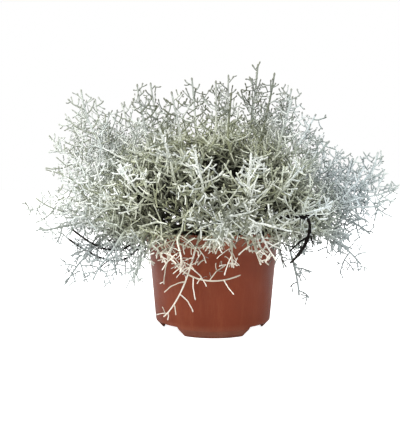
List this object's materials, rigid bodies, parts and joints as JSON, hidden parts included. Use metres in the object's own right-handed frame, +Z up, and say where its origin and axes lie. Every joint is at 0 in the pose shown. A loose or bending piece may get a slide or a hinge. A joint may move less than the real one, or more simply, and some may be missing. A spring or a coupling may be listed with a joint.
{
  "type": "potted cushion bush",
  "caption": "Silver-grey cushion bush of wiry, much-branched woolly stems in a round plastic nursery pot with a flared rim band and notched feet.",
  "frame": {"origin": "on the surface that the pot stands on, under the middle of the plant's box, which is the pot's own axis to within half a millimetre", "axes": "+Z up along the pot's axis; +X along the plant's widest spread, to the right of someone facing it; +Y away from that viewer"},
  "size_m": [0.3076, 0.286, 0.2251],
  "materials": {
    "pot": "satin terracotta-coloured moulded plastic with a soft sheen",
    "soil": "rough, dark, crumbly potting mix",
    "woolly_stem": "matt, silver-white felt of fine hairs on thin stems",
    "old_stem": "matt, dark, bare and dry"
  },
  "bodies": {
    "root": {"pot": "pot", "soil": "soil", "stem_crown_01": "woolly_stem", "stem_crown_02": "woolly_stem", "stem_crown_03": "woolly_stem", "stem_crown_04": "woolly_stem", "stem_crown_05": "woolly_stem", "stem_crown_06": "woolly_stem", "stem_crown_07": "woolly_stem", "stem_crown_08": "woolly_stem", "stem_crown_09": "woolly_stem", "stem_shoulder_01": "woolly_stem", "stem_shoulder_02": "woolly_stem", "stem_shoulder_03": "woolly_stem", "stem_shoulder_04": "woolly_stem", "stem_shoulder_05": "woolly_stem", "stem_shoulder_06": "woolly_stem", "stem_shoulder_07": "woolly_stem", "stem_shoulder_08": "woolly_stem", "stem_shoulder_09": "woolly_stem", "stem_shoulder_10": "woolly_stem", "stem_shoulder_11": "woolly_stem", "stem_shoulder_12": "woolly_stem", "stem_shoulder_13": "woolly_stem", "stem_flank_01": "woolly_stem", "stem_flank_02": "woolly_stem", "stem_flank_03": "woolly_stem", "stem_flank_04": "woolly_stem", "stem_flank_05": "woolly_stem", "stem_flank_06": "woolly_stem", "stem_flank_07": "woolly_stem", "stem_flank_08": "woolly_stem", "stem_flank_09": "woolly_stem", "stem_flank_10": "woolly_stem", "stem_flank_11": "woolly_stem", "stem_flank_12": "woolly_stem", "stem_flank_13": "woolly_stem", "stem_flank_14": "woolly_stem", "stem_flank_15": "woolly_stem", "stem_low_01": "woolly_stem", "stem_low_02": "woolly_stem", "stem_low_03": "woolly_stem", "stem_low_04": "woolly_stem", "stem_low_05": "woolly_stem", "stem_low_06": "woolly_stem", "stem_low_07": "woolly_stem", "stem_low_08": "woolly_stem", "stem_low_09": "woolly_stem", "stem_low_10": "woolly_stem", "stem_low_11": "woolly_stem", "stem_low_12": "woolly_stem", "stem_low_13": "woolly_stem", "stem_low_14": "woolly_stem", "stem_low_15": "woolly_stem", "stem_low_16": "woolly_stem", "stem_trailing_front": "woolly_stem", "stem_trailing_across": "woolly_stem", "old_stem_low": "old_stem", "old_stem_high": "old_stem", "old_stem_right": "old_stem"}
  },
  "joints": []
}
